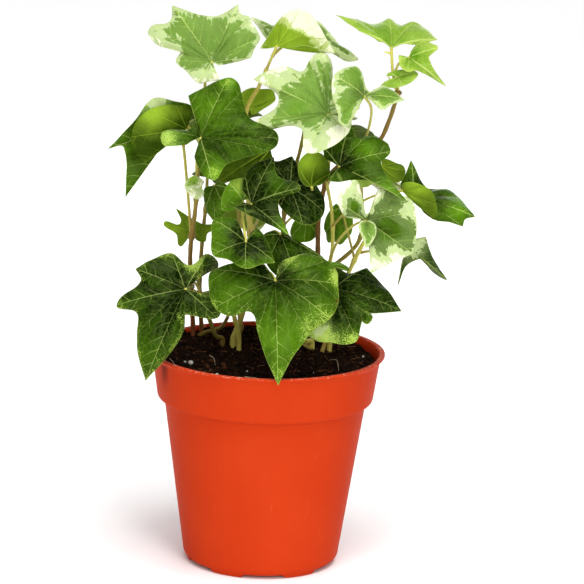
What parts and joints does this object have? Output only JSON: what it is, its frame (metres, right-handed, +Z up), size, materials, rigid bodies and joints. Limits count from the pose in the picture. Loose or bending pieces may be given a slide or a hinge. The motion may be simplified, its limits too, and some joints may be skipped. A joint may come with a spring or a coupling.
{
  "type": "potted ivy",
  "caption": "Potted variegated ivy: lobed leaves on thin upright vines rooted in a soil-filled round plastic nursery pot.",
  "frame": {"origin": "centre of the round pad under the pot, on the surface that it stands on", "axes": "+Z up along the pot's axis, -Y to the front, +X to the right as seen from the front"},
  "size_m": [0.1608, 0.1173, 0.2484],
  "materials": {
    "pot": "smooth satin moulded plastic",
    "soil": "loose dark potting soil",
    "leaf": "waxy leaves with pale veins"
  },
  "bodies": {
    "root": {"pot": "pot", "soil": "soil", "vine_left": "leaf", "vine_left_back": "leaf", "vine_centre": "leaf", "vine_right": "leaf", "vine_right_front": "leaf", "vine_front": "leaf", "vine_front_left": "leaf", "vine_front_right": "leaf", "vine_middle": "leaf", "vine_back_right": "leaf", "vine_back_left": "leaf"}
  },
  "joints": []
}
